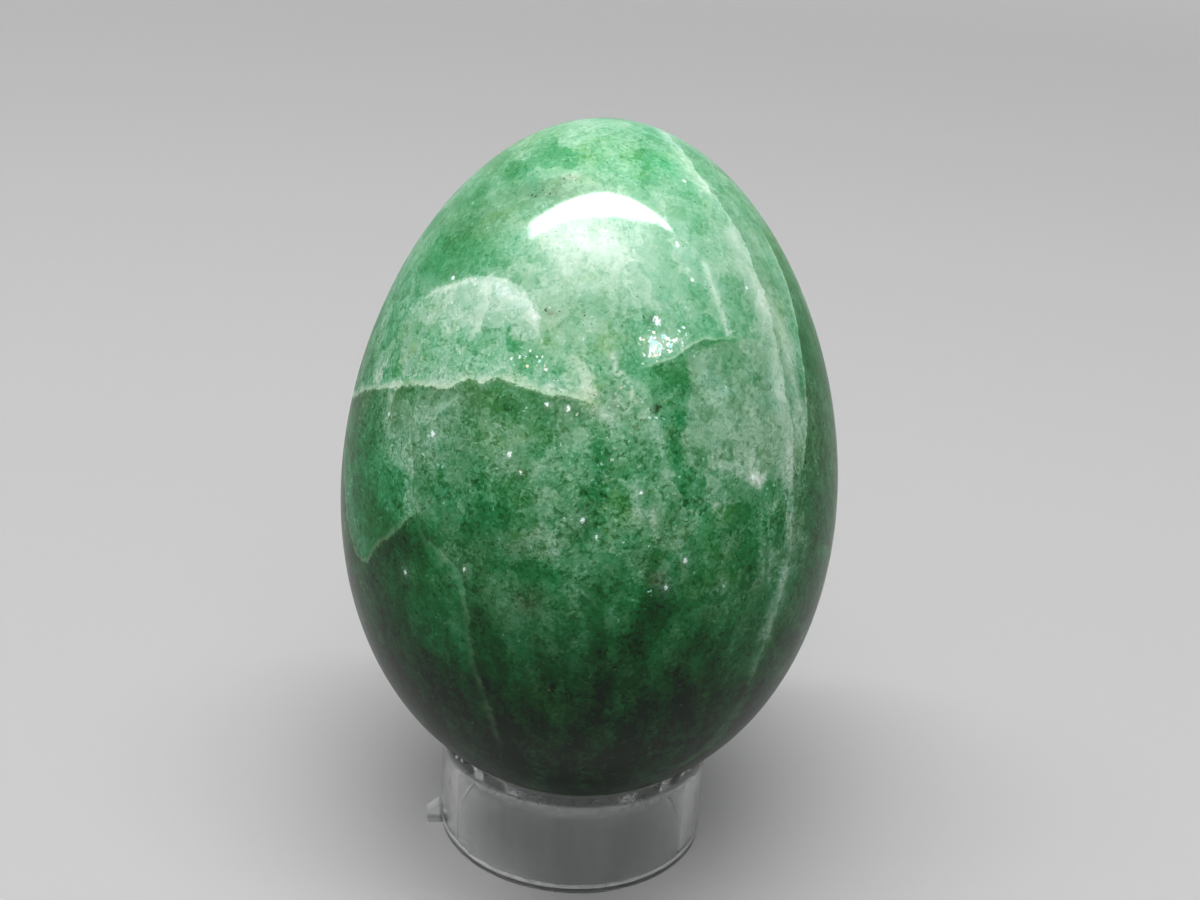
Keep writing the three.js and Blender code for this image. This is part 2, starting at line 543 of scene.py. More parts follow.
CLOUDS = (
    # The first cloud, round the tube lamp's mirrored highlight, is partly milky stone and partly a painted
    # glow of reflected light
    Cloud((-5, 56.2), 6, 2.6, 0.27, 0.5),
    Cloud((-4, 53.6), 5, 1.8, 0.08, 0.25),
    Cloud((-4, 50.5), 6, 3, 0.07, 0.3),
    Cloud((-34, 51), 6.5, 1.8, 0.06, 0.3, turn=5),
    Cloud((-48, 46.5), 10, 3, 0.05, 0.05, turn=5),
    Cloud((60, 55), 5, 7, 0.03, 0.1),
    Cloud((40, 54), 6, 5, 0.02, 0.1),
    Cloud((-26, 58.9), 4.6, 1.5, -0.07, 0.3, turn=15, rust=0.16),
    Cloud((-21, 59.9), 0.9, 0.4, 0.1, 0.4, turn=20, rust=0.3),
    Cloud((-66, 59.4), 2.6, 1, -0.06, -0.15),
    Cloud((-36.8, 61.2), 2.6, 1, -0.06, -0.15),
    Cloud((-50, 53.9), 3.4, 1.2, -0.06, -0.15, turn=5),
    Cloud((-60, 51.9), 3, 1.1, -0.05, -0.15, turn=5),
    Cloud((42, 60.8), 1.4, 1.6, -0.06, -0.3),
    Cloud((36, 44), 5, 4, milk=0.2),
    Cloud((54, 45), 2.6, 9, 0.08, 0.6),
    Cloud((4.4, 41.2), 1.8, 2, -0.12, -0.2, glints=0.05),
    Cloud((2.5, 45), 3.4, 2.2, 0.02, 0.2, rust=0.2, glints=0.06),
    Cloud((15.4, 49.3), 0.9, 0.8, 0.1, 0.3, glints=0.95),
    Cloud((19, 49.5), 1.5, 0.7, 0.08, 0.2, turn=14, glints=0.8),
    Cloud((14.2, 48.4), 0.5, 0.45, 0.08, rust=0.25, glints=0.9),
    Cloud((14.2, 51), 0.5, 0.6, -0.2, -0.2, rust=0.3),
    Cloud((-18, 47.6), 1.6, 1, glints=0.2),
    Cloud((14, 30.2), 0.9, 0.7, turn=60, glints=0.25),
    Cloud((14.6, 33), 0.6, 2.4, -0.12, -0.2, turn=-8),
    Cloud((1.5, 40), 0.8, 2.6, -0.13, -0.25, turn=-4),
    Cloud((-0.5, 36), 0.7, 2.6, -0.13, -0.2, turn=-12),
    Cloud((18, 36.5), 0.5, 3.2, -0.12, -0.2),
    Cloud((18, 33.5), 1.7, 1, 0.07, 0.1, turn=-30),
    Cloud((24.4, 24.8), 0.9, 2.8, -0.17, turn=-20),
    Cloud((5.4, 21), 1, 3, -0.16, turn=-20),
    Cloud((13.5, 27.6), 1.1, 2.8, -0.13, -0.2, turn=-4),
    Cloud((-42, 55.5), 5, 2.4, -0.06),
    Cloud((-60, 55.5), 4, 3, -0.06, 0.05),
    Cloud((-60, 46.6), 4, 1.8, -0.06, -0.05),
    Cloud((34, 60), 3.6, 2, 0.02, 0.1),
    Cloud((-14, 51), 1, 0.5, -0.05, turn=10, rust=0.3, glints=0.06),
    Cloud((-46, 20), 8, 9, -0.08, -0.35),
    Cloud((-40, 31), 3, 1.6, -0.1, -0.2),
    Cloud((-60, 33), 6, 4, 0.02, -0.35),
    Cloud((11, 25), 1.6, 7, -0.1, -0.1, turn=-20),
    Cloud((-6, 30), 8, 5, 0.01, 0.05),
    Cloud((-36, 43.9), 2.6, 1, milk=0.3, rust=0.16),
    Cloud((10, 41), 14, 5, 0.06, 0.14),
    Cloud((-28, 41), 9, 4.5, 0.07, 0.18),
    Cloud((82, 36), 9, 17, -0.2, -0.25),
    Cloud((-92, 34), 8, 15, -0.12, -0.2),
    Cloud((-16, 33.5), 2, 1.2, 0.04, 0.3, rust=0.15),
    Cloud((-14, 27), 6, 5, 0.055, 0.12),
    Cloud((-34, 24), 3, 6, 0.03, -0.1, turn=5),
    Cloud((-11, 29), 1.6, 1.4, milk=0.2, turn=30, rust=0.35),
    Cloud((-22, 26.5), 1.3, 0.9, -0.08, rust=0.3),
    Cloud((42, 18.2), 0.9, 1.8, turn=12, rust=0.7),
    Cloud((15, 31.5), 0.8, 0.8, 0.1, 0.5, rust=0.5),
    Cloud((10, 37), 6, 3, 0.02, 0.1),
    Cloud((14.6, 44.8), 0.34, 0.3, -0.15, rust=0.8),
    Cloud((15, 13), 14, 6, -0.09),
    Cloud((-50, 59), 6, 4, -0.06),
    Cloud((28, 21), 1.2, 6, -0.13, turn=-25),
    Cloud((17, 19), 1, 5, -0.1, turn=-20),
    Cloud((2, 15), 1.2, 5, -0.1, turn=-15),
    Cloud((-10, 20), 2.6, 7, 0.06, 0.2, turn=-5),
    Cloud((9, 16), 1.2, 5, 0.05, 0.1, turn=-15),
    Cloud((25, 60), 8, 4, 0.03, -0.1),
    Cloud((160, 48), 14, 7, 0.1, 0.4),
    Cloud((220, 24), 12, 9, -0.08, -0.3),
    Cloud((120, 14), 9, 6, 0.06, 0.3),
)

# Single flakes of mica, drawn as painted glints that glow a little: their spots, by their radius
SPARKS = {
    0.36: ((16, 50.9),),
    0.25: ((-38, 40.5),),
    0.22: ((-6, 44.6), (-18, 40.6), (21, 32.8), (27, 55.9), (38, 38.6), (140, 36)),
    0.2: ((-1, 36.3), (17, 30.7), (-49, 51.7), (-41, 28.3), (170, 44), (230, 40)),
    0.18: ((45, 59.7), (-54, 40.3)),
    0.16: ((-11, 44.7), (29, 53.5), (49, 52.3), (-25.5, 30.6), (200, 52)),
    0.14: ((-15, 39.4), (2, 35), (11, 38.5)),
}


# Meshes


def around_axis(radius: np.ndarray, bearing: np.ndarray, height: np.ndarray) -> np.ndarray:
    """Points at that radius and height, turned about the axis by the bearing from -Y towards +X."""
    radius, bearing, height = np.broadcast_arrays(radius, bearing, height)
    return np.stack([radius * np.sin(bearing), -radius * np.cos(bearing), height], axis=-1)


def nearest(places: np.ndarray, course: np.ndarray) -> tuple[np.ndarray, np.ndarray, np.ndarray]:
    """Where a course of straight stretches comes nearest to each point.

    On each stretch that is start + share * (end - start), with the share held between 0 and 1.

    Args:
        places: The points.
        course: The ends of the stretches, in order.

    Returns:
        For each point its distance from there, the stretch's number, and the share.
    """
    distance = np.full(len(places), np.inf)
    stretch = np.zeros(len(places), dtype=int)
    share = np.zeros(len(places))
    for number, (start, end) in enumerate(zip(course[:-1], course[1:])):
        along = end - start
        here = np.clip((places - start) @ along / (along @ along), 0, 1)
        away = np.linalg.norm(places - start - here[:, None] * along, axis=1)
        closer = away < distance
        distance = np.where(closer, away, distance)
        stretch = np.where(closer, number, stretch)
        share = np.where(closer, here, share)
    return distance, stretch, share


def shell(name: str, places: np.ndarray, around: int, poles: bool) -> bpy.types.Mesh:
    """A smooth closed mesh of loops of points, with its faces outwards.

    Args:
        name: The mesh's name.
        places: The points in metres, loop after loop.
        around: Points a loop.
        poles: Whether a point before the loops and one after them close the shell; otherwise
            the last loop joins the first.

    Returns:
        The mesh.
    """
    first = int(poles)
    loops = (len(places) - 2 * first) // around
    loop, point = np.meshgrid(np.arange(loops - first), np.arange(around), indexing="ij")
    lower = first + loop * around
    upper = first + (loop + 1) % loops * around
    after = (point + 1) % around
    corners = [lower + point, lower + after, upper + after, upper + point]
    faces = np.stack(corners, axis=-1).reshape(-1, 4).tolist()
    if poles:
        point, after = point[0], after[0]
        last = len(places) - 1
        faces += np.stack([0 * point, 1 + after, 1 + point], axis=-1).tolist()
        faces += np.stack([0 * point + last, last - around + point, last - around + after], axis=-1).tolist()
    mesh = bpy.data.meshes.new(name)
    mesh.from_pydata(places, [], faces)
    mesh.shade_smooth()
    return mesh


def add(name: str, data: bpy.types.ID) -> bpy.types.Object:
    """Adds an object to the scene.

    Args:
        name: Its name.
        data: Its mesh, light or camera.

    Returns:
        The object.
    """
    made = bpy.data.objects.new(name, data)
    bpy.context.scene.collection.objects.link(made)
    return made


def put(mesh: bpy.types.Mesh, body: str, node: str) -> bpy.types.Object:
    """Makes a piece of a mesh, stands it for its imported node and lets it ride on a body.

    Args:
        mesh: The finished mesh, in place.
        body: The body that carries it.
        node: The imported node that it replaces.

    Returns:
        The piece.
    """
    piece = add(mesh.name, mesh)
    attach(piece, body)
    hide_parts(node)
    log.info("%s: %d faces, rides on %s", piece.name, len(mesh.polygons), body)
    return piece


@dataclass(frozen=True)
class EggShape:
    """The egg as a surface of revolution, in metres.

    Its outline is an ellipse whose radius is weighted. At an angle phi, which runs from 0 at the
    blunt bottom to pi at the tip, the radius is scale * sin(phi) * (1 + taper * cos(phi)), and
    the height above the foot is height * (1 - cos(phi)) / 2.
    """

    width: float
    height: float
    foot: float  # how high its lowest point stands above the table
    taper: float = 0.105  # how much the tip narrows

    @classmethod
    def packed(cls, node: str) -> EggShape:
        """The shape of a packed egg, from its box."""
        low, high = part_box(node)
        return cls(width=high[0] - low[0], height=high[2] - low[2], foot=low[2])

    @property
    def scale(self) -> float:
        """The radius that makes the widest part as wide as it should be."""
        cosine = 2 * self.taper / (1 + math.sqrt(1 + 8 * self.taper**2))
        return self.width / 2 / (math.sqrt(1 - cosine**2) * (1 + self.taper * cosine))

    def point(self, phi: np.ndarray, bearing: np.ndarray) -> np.ndarray:
        """The points at those angles and bearings."""
        radius = self.scale * np.sin(phi) * (1 + self.taper * np.cos(phi))
        return around_axis(radius, bearing, self.foot + self.height * (1 - np.cos(phi)) / 2)

    def outward(self, phi: np.ndarray, bearing: np.ndarray) -> np.ndarray:
        """Unit normals, from the slopes of the outline.

        Args:
            phi: Angles up the outline.
            bearing: Bearings in radians.

        Returns:
            The normals, with x, y and z last.
        """
        widening = self.scale * (np.cos(phi) + self.taper * np.cos(2 * phi))
        climb = np.sin(phi) * self.height / 2
        slope = np.hypot(climb, widening)
        return around_axis(climb / slope, bearing, -widening / slope)

    def angles(self, spots: Course, steps: int = 1) -> tuple[np.ndarray, np.ndarray]:
        """Where spots lie, with each stretch between them cut into equal steps.

        Args:
            spots: The spots in order.
            steps: Steps a stretch.

        Returns:
            The angles phi and the bearings from -Y, in radians.
        """
        bearings, heights = np.array(spots, dtype=float).T
        known = np.arange(len(spots))
        wanted = np.linspace(0, len(spots) - 1, (len(spots) - 1) * steps + 1)
        rises = np.interp(wanted, known, heights * MILLIMETRE)
        phi = np.arccos(1 - 2 * np.clip(rises / self.height, 0, 1))
        return phi, np.interp(wanted, known, np.radians(bearings)) + FRONT


@dataclass
class StoneEgg:
    """The egg: its fine mesh, with the places of the stone's marks stored on its points."""

    finish: PolishedStone
    node: str = "stone_egg"
    body: str = "egg"
    rings: int = 260
    spokes: int = 360
    steps_a_stretch: int = 4
    pane_reach: float = 30.0  # millimetres from a pane within which its distance is stored
    pane_sag: float = 8.0  # how far the egg may curve away under a pane, in millimetres
    wave_depth: float = 0.007 * MILLIMETRE

    def __post_init__(self) -> None:
        """Takes the egg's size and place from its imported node."""
        self.shape = EggShape.packed(self.node)

    def build(self) -> bpy.types.Object:
        """Makes the egg, dresses it and puts it on its body.

        Returns:
            The piece.
        """
        phi, bearing = self._grid()
        places = self.shape.point(phi, bearing)
        places -= self.shape.outward(phi, bearing) * self._waves(places / MILLIMETRE)[:, None]
        mesh = shell("stone_egg_fine", places, self.spokes, poles=True)
        for name, numbers in self._marks(places / MILLIMETRE).items():
            mesh.attributes.new(name, "FLOAT", "POINT").data.foreach_set("value", numbers)
        mesh.materials.append(self.finish.material(self.shape))
        return put(mesh, self.body, self.node)

    def _grid(self) -> tuple[np.ndarray, np.ndarray]:
        """The points' places on the outline and round the axis, from pole to pole.

        Returns:
            The angles phi and the bearings: the bottom pole, each ring in turn, the top pole.
        """
        phi = np.linspace(0, math.pi, self.rings + 1)[1:-1]
        bearing = np.linspace(-math.pi, math.pi, self.spokes, endpoint=False)
        phis, bearings = np.meshgrid(phi, bearing, indexing="ij")
        return np.pad(phis.ravel(), 1, constant_values=(0, math.pi)), np.pad(bearings.ravel(), 1)

    def _waves(self, places: np.ndarray) -> np.ndarray:
        """How far the polishing wheel has sunk the surface.

        wave_depth * (3 + sin(a) + sin(b) + sin(c)) / 6, where a, b and c grow along three slanted
        directions, each bent by a sine of the next coordinate.

        Args:
            places: The points in millimetres.

        Returns:
            The depths in metres, from nought to wave_depth.
        """
        x, y, z = places.T
        waves = np.sin(1.1 * x + 0.9 * z + 1.3 * np.sin(0.45 * y))
        waves += np.sin(1.4 * y - 0.8 * z + 1.1 * np.sin(0.5 * x))
        waves += np.sin(0.7 * x - 1.2 * y + 1.5 * np.sin(0.4 * z))
        return self.wave_depth * (3 + waves) / 6

    def _marks(self, places: np.ndarray) -> dict[str, np.ndarray]:
        """What the finish reads from the points.

        Args:
            places: The points in millimetres.

        Returns:
            Names of attributes, and a number for each point.
        """
        marks = {"bands": self._bands(places), **self._panes(places), **self._clouds(places)}
        for name, seam in SEAMS.items():
            marks[name], marks[name + SHARE] = self._seam(seam, places)
        return marks

    def _course(self, spots: Course) -> tuple[np.ndarray, np.ndarray]:
        """A course as points and outward normals, in millimetres."""
        phi, bearing = self.shape.angles(spots, self.steps_a_stretch)
        return self.shape.point(phi, bearing) / MILLIMETRE, self.shape.outward(phi, bearing)

    def _seam(self, seam: Seam, places: np.ndarray) -> tuple[np.ndarray, np.ndarray]:
        """Distance of each point from a seam, positive on its left, and the seam's strength there.

        The side is the sign of the offset's part along normal x along. The strength rises from 0
        at either end of the seam to 1.

        Args:
            seam: The seam.
            places: The points in millimetres.

        Returns:
            Signed distances in millimetres, and strengths.
        """
        course, outward = self._course(seam.spots)
        distance, stretch, share = nearest(places, course)
        along = np.diff(course, axis=0)
        leftwards = np.cross(outward[:-1], along)[stretch]
        offset = places - course[stretch] - share[:, None] * along[stretch]
        side = np.sign(np.sum(offset * leftwards, axis=1))
        lengths = np.linalg.norm(along, axis=1)
        gone = np.cumsum(lengths) - lengths
        travelled = gone[stretch] + share * lengths[stretch]
        rise = np.clip(np.minimum(travelled, lengths.sum() - travelled) / seam.ends, 0, 1)
        return side * distance, rise * rise * (3 - 2 * rise)

    def _bands(self, places: np.ndarray) -> np.ndarray:
        """How pale the soft streaks make each point: strength * exp(-(distance / half width)^2).

        Args:
            places: The points in millimetres.

        Returns:
            The paleness that the strongest streak gives each point.
        """
        paleness = np.zeros(len(places))
        for band in BANDS:
            distance, _, _ = nearest(places, self._course(band.spots)[0])
            paleness = np.maximum(paleness, band.strength * np.exp(-((distance / band.width * 2) ** 2)))
        return paleness

    def _tangents(self, spot: Spot) -> tuple[np.ndarray, np.ndarray, np.ndarray, np.ndarray]:
        """The plane that touches the egg at a spot.

        Args:
            spot: The spot.

        Returns:
            The spot's place in millimetres, and the directions east, north and outward there.
        """
        phi, bearing = self.shape.angles((spot,))
        outward = self.shape.outward(phi, bearing)[0]
        east = np.array([math.cos(bearing[0]), math.sin(bearing[0]), 0.0])
        return self.shape.point(phi, bearing)[0] / MILLIMETRE, east, np.cross(outward, east), outward

    def _panes(self, places: np.ndarray) -> dict[str, np.ndarray]:
        """Distance from the edge of the innermost pane, positive inside, and that pane's looks.

        Points and corners are laid on the plane that touches the egg at the pane's middle. A
        point is inside where a line from it crosses the outline an odd number of times.

        Args:
            places: The points in millimetres.

        Returns:
            The distance in millimetres, and the tone and milk of the pane it belongs to.
        """
        depth = np.full(len(places), -self.pane_reach)
        tone, milk = np.zeros((2, len(places)))
        for pane in PANES:
            middle, east, north, outward = self._tangents(tuple(np.mean(pane.spots, axis=0)))
            plane = np.stack([east, north], axis=-1)
            flat = (places - middle) @ plane
            corners = (self._course(pane.spots + pane.spots[:1])[0] - middle) @ plane
            distance, _, _ = nearest(flat, corners)
            inside = np.zeros(len(places), dtype=bool)
            for start, end in zip(corners[:-1], corners[1:]):
                straddles = (start[1] > flat[:, 1]) != (end[1] > flat[:, 1])
                slant = (end[0] - start[0]) / (end[1] - start[1] or 1.0)
                inside ^= straddles & (flat[:, 0] < start[0] + (flat[:, 1] - start[1]) * slant)
            here = np.where(inside, distance, -distance)
            facing = (places - middle) @ outward > -self.pane_sag
            deeper = facing & (here > depth)
            depth = np.where(deeper, here, depth)
            tone = np.where(deeper, pane.tone, tone)
            milk = np.where(deeper, pane.milk, milk)
        return {"pane_depth": depth, "pane_tone": tone, "pane_milk": milk}

    def _clouds(self, places: np.ndarray) -> dict[str, np.ndarray]:
        """The sums of the soft patches, each exp(-(u/across)^2 - (v/up)^2 - (w/depth)^2).

        u and v are offsets along the patch's own axes in the surface, and w is the offset along
        its normal, with the larger of the two half sizes as its depth.

        Args:
            places: The points in millimetres.

        Returns:
            The sums of tone, milk, rust and painted glints.
        """
        sums = {name: np.zeros(len(places)) for name in ("tone", "milk", "rust", "glints")}
        for cloud in CLOUDS:
            middle, east, north, outward = self._tangents(cloud.spot)
            sine, cosine = math.sin(math.radians(cloud.turn)), math.cos(math.radians(cloud.turn))
            axes = (east * cosine + north * sine, north * cosine - east * sine, outward)
            sizes = (cloud.across, cloud.up, max(cloud.across, cloud.up))
            reach = sum(((places - middle) @ axis / size) ** 2 for axis, size in zip(axes, sizes))
            for name in sums:
                sums[name] += getattr(cloud, name) * np.exp(-reach)
        return sums


@dataclass
class ClearRing:
    """The ring stand: a slice of clear tube with rounded edges and its gate nub, along -X."""

    finish: ClearPlastic
    node: str = "ring_stand"
    body: str = "ring_stand"
    wall: float = 1.6 * MILLIMETRE
    rounding: float = 0.3 * MILLIMETRE
    nub_height: float = 2.0 * MILLIMETRE
    nub_tip_height: float = 0.7 * MILLIMETRE
    nub_width: float = 1.8 * MILLIMETRE
    nub_flank: float = 0.25 * MILLIMETRE
    nub_bearing: float = -math.pi / 2
    nub_stretch: float = 1.6  # how many nubs wide the stretch of close bearings is
    rounding_steps: int = 6
    wall_steps: int = 40
    spokes: int = 300
    nub_spokes: int = 60

    def __post_init__(self) -> None:
        """Takes the ring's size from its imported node."""
        low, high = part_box(self.node)
        self.radius = high[0]
        self.height = high[2]
        self.nub_reach = -low[0] - high[0]

    def build(self) -> bpy.types.Object:
        """Makes the ring, dresses it and puts it on its body.

        Returns:
            The piece.
        """
        radii, heights = (part[:, None] for part in self._section())
        bearing = self._bearings()
        middle = self.radius - self.wall / 2
        outside = np.clip((radii - middle) / (self.wall / 4), 0, 1)
        places = around_axis(radii + self._nub(bearing, heights) * outside, bearing, heights)
        mesh = shell("ring_stand_clear", places.reshape(-1, 3), len(bearing), poles=False)
        mesh.materials.append(self.finish.material())
        return put(mesh, self.body, self.node)

    def _section(self) -> tuple[np.ndarray, np.ndarray]:
        """The wall's section: four quarter circles joined by straight runs, counter-clockwise.

        Returns:
            The radii and the heights of its points, in metres.
        """
        inset = self.rounding
        outer, inner = self.radius - inset, self.radius - self.wall + inset
        corners = (
            (outer, inset, -90),
            (outer, self.height - inset, 0),
            (inner, self.height - inset, 90),
            (inner, inset, 180),
        )
        radii, heights = [], []
        for radius, height, start in corners:
            turn = np.radians(start + np.linspace(0, 90, self.rounding_steps + 1))
            radii.append(radius + inset * np.cos(turn))
            heights.append(height + inset * np.sin(turn))
            if start in (-90, 90):
                run = np.linspace(heights[-1][-1], self.height - heights[-1][-1], self.wall_steps)
                heights.append(run[1:-1])
                radii.append(np.full(self.wall_steps - 2, radii[-1][-1]))
        return np.concatenate(radii), np.concatenate(heights)

    def _bearings(self) -> np.ndarray:
        """Bearings all round, closer together at the nub.

        Returns:
            The bearings in radians.
        """
        half = self.nub_stretch * self.nub_width / 2 / self.radius
        start, end = self.nub_bearing - half, self.nub_bearing + half
        near = np.linspace(start, end, self.nub_spokes)
        return np.concatenate([near, np.linspace(end, start + 2 * math.pi, self.spokes)[1:-1]])

    def _nub(self, bearing: np.ndarray, height: np.ndarray) -> np.ndarray:
        """How far the nub stands out of the wall.

        Full reach up to the tip's height, then a straight slope down to nought at the nub's
        height; across, a smooth step at either flank.

        Args:
            bearing: Bearings in radians.
            height: Heights in metres.

        Returns:
            The reach in metres at each bearing and height.
        """
        slope = (self.nub_height - height) / (self.nub_height - self.nub_tip_height)
        sideways = np.abs(bearing - self.nub_bearing) * self.radius
        flank = np.clip((self.nub_width / 2 - sideways) / self.nub_flank + 0.5, 0, 1)
        return self.nub_reach * np.clip(slope, 0, 1) * flank * flank * (3 - 2 * flank)


# Finishes


@dataclass(frozen=True)
class Climb:
    """A number that changes in smooth steps with the height on the egg, in millimetres."""

    start: float
    steps: tuple[Triple, ...]  # where each step begins and ends, and what it adds

    def at(self, height: Value) -> Value:
        """The number at that height."""
        return self.start + sum(height.rise(low, high) * amount for low, high, amount in self.steps)


# How much each kind of lump in the ground lightens the stone, and how much it clouds it
LUMP_TONES = {"sheets": 0.075, "mottle": 0.055, "plates": 0.115, "crystals": 0.105}
LUMP_MILKS = {
    "clouding": 0.2, "sheets": 0.16, "plates": 0.3, "crystals": 0.2, "sugar": 0.15, "mottle": 0.1,
}


@dataclass(frozen=True)
class PolishedStone:
    """Translucent green stone under a polished surface.

    Tone runs from 0, the deepest green, to 1, the palest. Milk runs from 0, clear and deep in
    colour, to 1, cloudy and grey. Lengths are in millimetres.
    """

    name: str = "polished_green_stone"
    clear_greens: Stops = (
        (0.0, ink(3, 28, 8)),
        (0.2, ink(15, 80, 32)),
        (0.4, ink(28, 118, 60)),
        (0.55, ink(54, 150, 94)),
        (0.7, ink(100, 182, 138)),
        (0.85, ink(154, 214, 182)),
        (1.0, ink(214, 240, 228)),
    )
    milky_greens: Stops = (
        (0.0, ink(16, 34, 18)),
        (0.2, ink(50, 88, 48)),
        (0.4, ink(80, 124, 82)),
        (0.55, ink(112, 156, 122)),
        (0.7, ink(150, 188, 160)),
        (0.85, ink(190, 215, 196)),
        (1.0, ink(228, 238, 234)),
    )
    # Colours of the painted glints: flakes drawn bright in the base colour, as if they caught the light
    painted_glint_colours: Stops = (
        (0.0, ink(165, 225, 214)),
        (0.3, ink(206, 246, 246)),
        (0.6, ink(255, 255, 255)),
        (0.9, ink(250, 250, 238)),
        (1.0, ink(226, 214, 165)),
    )
    rust: Colour = ink(168, 128, 84)
    teal: Colour = ink(176, 240, 242)
    olive: Colour = ink(244, 240, 176)
    thread_colour: Colour = ink(204, 222, 190)
    speck_colour: Colour = ink(30, 50, 24)
    # Colour of the painted sparks, single flakes drawn as glints
    painted_spark_colour: Colour = ink(240, 252, 250)
    spark_width: float = 0.75  # of its height
    # How much the painted glints cover the base colour, and how strongly they glow as painted light
    painted_glint_cover: float = 0.85
    painted_glint_glow: float = 0.12
    band_tone: float = 0.45
    band_milk: float = 0.8
    foot: float = 6.3  # the height above the table from which the climbs are counted
    # Lighter with height: partly the stone's own colour, partly painted shade that darkens the lower part
    # where light from above falls off
    ground_tone_and_shade: Climb = Climb(0.03, ((4, 40, 0.46), (38, 52, 0.12)))
    ground_milk: Climb = Climb(0.12, ((14, 48, 0.3), (48, 60, 0.14)))
    contrast: Climb = Climb(1.0, ((36, 54, -0.4),))
    wispiness: Climb = Climb(0.105, ((14, 47, -0.085),))
    graininess: Climb = Climb(0.6, ((20, 38, 0.4), (38, 54, -0.6)))
    plate_width: float = 2.3
    fracture_width: float = 1.1
    crystal_width: float = 0.85
    sugar_width: float = 0.24
    body_roughness: float = 0.4
    body_shine: float = 0.05
    underlit: float = 0.08  # the share of light that travels under the surface
    travel: float = 0.8  # how far it travels
    travel_shares: Triple = (0.5, 1.0, 0.6)  # of that length, for red, green and blue
    polish: float = 0.3
    polish_roughness: float = 0.08
    refraction: float = 1.5

    def material(self, shape: EggShape) -> bpy.types.Material:
        """Builds the finish.

        Args:
            shape: The egg that wears it.

        Returns:
            The material.
        """
        graph = Graph(bpy.data.materials.new(self.name))
        tone, milk = self._ground(graph)
        seams, threads = self._seams(graph)
        pane_tone, pane_milk = self._panes(graph)
        bands = self._bands(graph)
        tone = tone + seams + pane_tone + bands * self.band_tone
        milk = milk + pane_milk + bands * self.band_milk
        stone = self._tinted(graph, tone, milk)
        stone = graph.mix(stone, self.thread_colour, threads)
        stone = graph.mix(stone, self.speck_colour, self._specks(graph))
        glints, glint_colour = self._glints(graph, shape)
        sockets = {
            # The base colour carries the painted glints
            "Base Color": graph.mix(stone, glint_colour, glints * self.painted_glint_cover),
            "Roughness": self.body_roughness,
            "IOR": self.refraction,
            "Specular IOR Level": self.body_shine,
            "Subsurface Weight": self.underlit,
            "Subsurface Radius": self.travel_shares,
            "Subsurface Scale": self.travel * MILLIMETRE,
            "Coat Weight": self.polish,
            "Coat Roughness": self.polish_roughness,
            "Coat IOR": self.refraction,
            # Painted glow: the glints shine a little, though the stone is no lamp
            "Emission Color": graph.mix(grey(0.0), glint_colour, glints),
            "Emission Strength": self.painted_glint_glow,
        }
        return graph.surface(graph.node("BsdfPrincipled", {"subsurface_method": "RANDOM_WALK"}, sockets))

    def _tinted(self, graph: Graph, tone: Value, milk: Value) -> Value:
        """The stone's green, shifted to teal, olive and rust in places.

        Args:
            graph: The material's graph.
            tone: How light the stone is.
            milk: How milky it is.

        Returns:
            The colour.
        """
        greens = (graph.ramp(tone, stops) for stops in (self.clear_greens, self.milky_greens))
        stone = graph.mix(*greens, milk.rise(0.0, 1.0))
        shift = graph.noise(8.0, 3.0) * 0.55 + graph.noise(1.6, 4.0, 0.7) * 0.5
        leeway = 1.1 - tone.rise(0.4, 0.8) * 0.6
        stone = graph.mix(stone, self.teal, shift.rise(0.0, 1.1) * leeway, Blend.TINT)
        stone = graph.mix(stone, self.olive, (-shift).rise(0.0, 1.1) * leeway, Blend.TINT)
        stained = graph.stored("rust") * (graph.noise(0.7, 3.0, 0.65) * 0.7 + 0.9)
        return graph.mix(stone, self.rust, stained.rise(0.05, 0.6), Blend.TINT)

    def _ground(self, graph: Graph) -> tuple[Value, Value]:
        """The mottled ground between the marks.

        Args:
            graph: The material's graph.

        Returns:
            Its tone and its milkiness.
        """
        height = graph.along(graph.here, 0.0, 0.0, 1.0) - self.foot
        contrast = self.contrast.at(height)
        ragged = graph.stirred(1.1, 0.4)
        slanted = graph.turned((0, 20, 0), (1.0, 1.0, 0.55), ragged)
        tall = graph.turned((0, 0, 0), (1.0, 1.0, 0.8), ragged)
        sheeted = graph.turned((0, 14, 8), (1.0, 0.45, 0.4))
        upright = graph.turned((0, 6, 15), (1.0, 0.25, 0.17))
        lumps = {
            "sheets": graph.noise(3.6, 3.5, 0.55, 0.6, sheeted),
            "mottle": graph.noise(1.9, 2.5, 0.6, 0.3),
            "clouding": graph.noise(4.5, 3.0, 0.6, 0.3),
            "plates": graph.chance(self.plate_width, place=slanted) - 0.5,
            "crystals": graph.chance(self.crystal_width, place=tall) - 0.5,
            "sugar": graph.chance(self.sugar_width, place=graph.stirred(0.3, 0.06)) - 0.5,
        }
        wisps = graph.noise(1.6, 3.5, 0.6, 0.4, upright) * self.wispiness.at(height)
        coarse = sum(lumps[name] * amount for name, amount in LUMP_TONES.items())
        coarse = coarse + wisps + self._fractures(graph, ragged, slanted)
        # The tone that climbs with height is partly painted shade low down
        tone = self.ground_tone_and_shade.at(height) + graph.stored("tone") + graph.noise(12.0, 3.0, 0.6) * 0.04
        tone = tone + coarse * (contrast * 0.75 + 0.25)
        smooth = graph.stored("milk").rise(0.1, 0.6) * 0.3 + graph.stored("pane_milk").rise(0.1, 0.3) * 0.25
        grain = self.graininess.at(height) * (1.0 - smooth)
        tone = tone + self._grains(graph, ragged, lumps["sugar"]) * grain
        milk = sum(lumps[name] * amount for name, amount in LUMP_MILKS.items()) * contrast
        return tone, milk + graph.stored("milk") + self.ground_milk.at(height)

